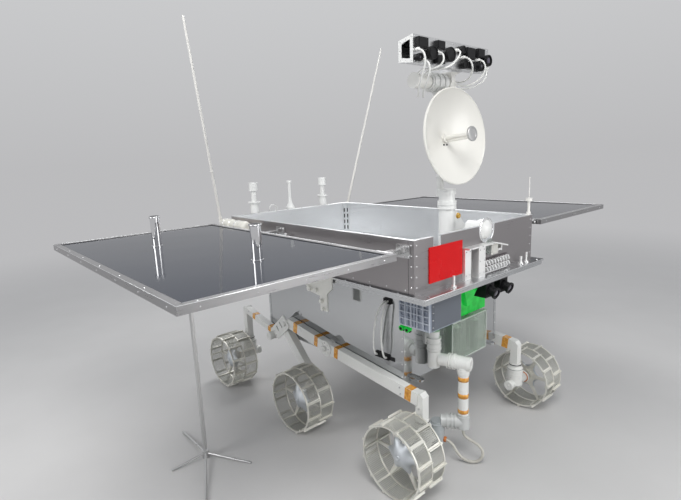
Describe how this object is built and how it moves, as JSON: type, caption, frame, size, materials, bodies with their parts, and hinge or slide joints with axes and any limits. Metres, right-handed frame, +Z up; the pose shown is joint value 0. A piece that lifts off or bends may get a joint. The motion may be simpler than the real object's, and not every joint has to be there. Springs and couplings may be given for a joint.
{
  "type": "planetary rover",
  "caption": "Wheeled lunar rover exhibition model: open tray on a closed box, rocker suspension, cage wheels, folding solar wings, dish mast, robot arm, display stand.",
  "frame": {"origin": "on the floor, midway between the front and rear axles and between the wheels of both sides", "axes": "+X to the front (the end with the red plate and the mast), +Y to the left, +Z up"},
  "size_m": [1.6, 2.584, 1.9462],
  "materials": {
    "sheet_metal": "brushed",
    "plate_red": "gloss",
    "fixture_metal": "satin",
    "module_grey": "ribbed matt",
    "camera_black": "matt",
    "green_clear": "translucent",
    "clear_plastic": "translucent",
    "beam_white": "satin paint",
    "fitting_white": "smooth plastic",
    "wheel_metal": "bead blasted",
    "wing_frame": "satin",
    "wing_panel": "dark gloss",
    "chrome": "polished",
    "dish_white": "satin paint",
    "lead_white": "smooth sheath",
    "cable_grey": "smooth sheath",
    "stand_metal": "brushed"
  },
  "bodies": {
    "chassis": {"lower_body": "sheet_metal", "ledge_frame": "sheet_metal", "tray": "sheet_metal", "front_plate": "plate_red", "front_fixtures": "fixture_metal", "ribbed_module": "module_grey", "hazard_cameras": "camera_black", "green_funnel": "green_clear", "clear_case": "clear_plastic", "rocker_right": "beam_white", "rocker_left": "beam_white", "bogie_right": "beam_white", "bogie_left": "beam_white", "hinge_brackets": "fixture_metal", "wing_drives": "fitting_white", "rear_antennas": "dish_white", "rod_antennas": "fixture_metal", "whip_antenna": "fixture_metal", "mast_base": "dish_white", "arm_shoulder": "fitting_white", "side_lead_front": "lead_white", "side_lead_rear": "lead_white", "display_stand": "stand_metal", "side_grommets": "camera_black", "tray_floor": "sheet_metal", "notch_lamp": "fitting_white", "case_contents": "camera_black", "side_brackets": "fixture_metal"},
    "mast": {"mast_column": "dish_white", "dish": "dish_white"},
    "head": {"camera_head": "sheet_metal", "camera_lenses": "camera_black", "head_lead_left_outer": "lead_white", "head_lead_left_inner": "lead_white", "head_lead_top_outer": "lead_white", "head_lead_top_inner": "lead_white", "head_lead_right_inner": "lead_white", "head_lead_right_middle": "lead_white", "head_lead_right_outer": "lead_white"},
    "arm_link": {"arm_link": "fitting_white"},
    "forearm": {"arm_forearm": "fitting_white", "instrument_head": "fixture_metal", "arm_cable": "cable_grey"},
    "wing_right": {"wing_frame_right": "wing_frame", "wing_panel_right": "wing_panel", "wing_tubes": "chrome"},
    "wing_left": {"wing_frame_left": "wing_frame", "wing_panel_left": "wing_panel"},
    "housing_front_right": {"steer_housing_front_right": "fitting_white"},
    "wheel_front_right": {"wheel_front_right": "wheel_metal"},
    "housing_front_left": {"steer_housing_front_left": "fitting_white"},
    "wheel_front_left": {"wheel_front_left": "wheel_metal"},
    "housing_rear_right": {"steer_housing_rear_right": "fitting_white"},
    "wheel_rear_right": {"wheel_rear_right": "wheel_metal"},
    "housing_rear_left": {"steer_housing_rear_left": "fitting_white"},
    "wheel_rear_left": {"wheel_rear_left": "wheel_metal"},
    "wheel_middle_right": {"wheel_middle_right": "wheel_metal"},
    "wheel_middle_left": {"wheel_middle_left": "wheel_metal"}
  },
  "joints": [
    {"name": "mast_turn", "type": "hinge", "parent": "chassis", "child": "mast", "pos_m": [0.502, 0, 1.052], "axis": [0, 0, 1], "range_deg": [-170, 170]},
    {"name": "head_tilt", "type": "hinge", "parent": "mast", "child": "head", "pos_m": [0.465, 0, 1.56], "axis": [0, -1, 0], "range_deg": [-30, 45]},
    {"name": "shoulder_turn", "type": "hinge", "parent": "chassis", "child": "arm_link", "pos_m": [0.577, -0.19, 0.43], "axis": [0, 0, 1], "range_deg": [-30, 30]},
    {"name": "elbow_swing", "type": "hinge", "parent": "arm_link", "child": "forearm", "pos_m": [0.577, -0.19, 0.43], "axis": [0.9489, 0.3156, 0], "range_deg": [0, 35]},
    {"name": "wing_fold_right", "type": "hinge", "parent": "chassis", "child": "wing_right", "pos_m": [0.2, -0.505, 0.93], "axis": [-1, 0, 0], "range_deg": [0, 75]},
    {"name": "wing_fold_left", "type": "hinge", "parent": "chassis", "child": "wing_left", "pos_m": [0.2, 0.505, 0.93], "axis": [1, 0, 0], "range_deg": [0, 75]},
    {"name": "steer_front_right", "type": "hinge", "parent": "chassis", "child": "housing_front_right", "pos_m": [0.65, -0.36, 0.245], "axis": [0, 0, 1], "range_deg": [-45, 45]},
    {"name": "spin_front_right", "type": "hinge", "parent": "housing_front_right", "child": "wheel_front_right", "pos_m": [0.65, -0.476, 0.15], "axis": [0, 1, 0], "continuous": true},
    {"name": "steer_front_left", "type": "hinge", "parent": "chassis", "child": "housing_front_left", "pos_m": [0.65, 0.36, 0.245], "axis": [0, 0, 1], "range_deg": [-45, 45]},
    {"name": "spin_front_left", "type": "hinge", "parent": "housing_front_left", "child": "wheel_front_left", "pos_m": [0.65, 0.476, 0.15], "axis": [0, 1, 0], "continuous": true},
    {"name": "steer_rear_right", "type": "hinge", "parent": "chassis", "child": "housing_rear_right", "pos_m": [-0.65, -0.36, 0.245], "axis": [0, 0, 1], "range_deg": [-45, 45]},
    {"name": "spin_rear_right", "type": "hinge", "parent": "housing_rear_right", "child": "wheel_rear_right", "pos_m": [-0.65, -0.476, 0.15], "axis": [0, 1, 0], "continuous": true},
    {"name": "steer_rear_left", "type": "hinge", "parent": "chassis", "child": "housing_rear_left", "pos_m": [-0.65, 0.36, 0.245], "axis": [0, 0, 1], "range_deg": [-45, 45]},
    {"name": "spin_rear_left", "type": "hinge", "parent": "housing_rear_left", "child": "wheel_rear_left", "pos_m": [-0.65, 0.476, 0.15], "axis": [0, 1, 0], "continuous": true},
    {"name": "spin_middle_right", "type": "hinge", "parent": "chassis", "child": "wheel_middle_right", "pos_m": [0.015, -0.476, 0.15], "axis": [0, 1, 0], "continuous": true},
    {"name": "spin_middle_left", "type": "hinge", "parent": "chassis", "child": "wheel_middle_left", "pos_m": [0.015, 0.476, 0.15], "axis": [0, 1, 0], "continuous": true}
  ]
}
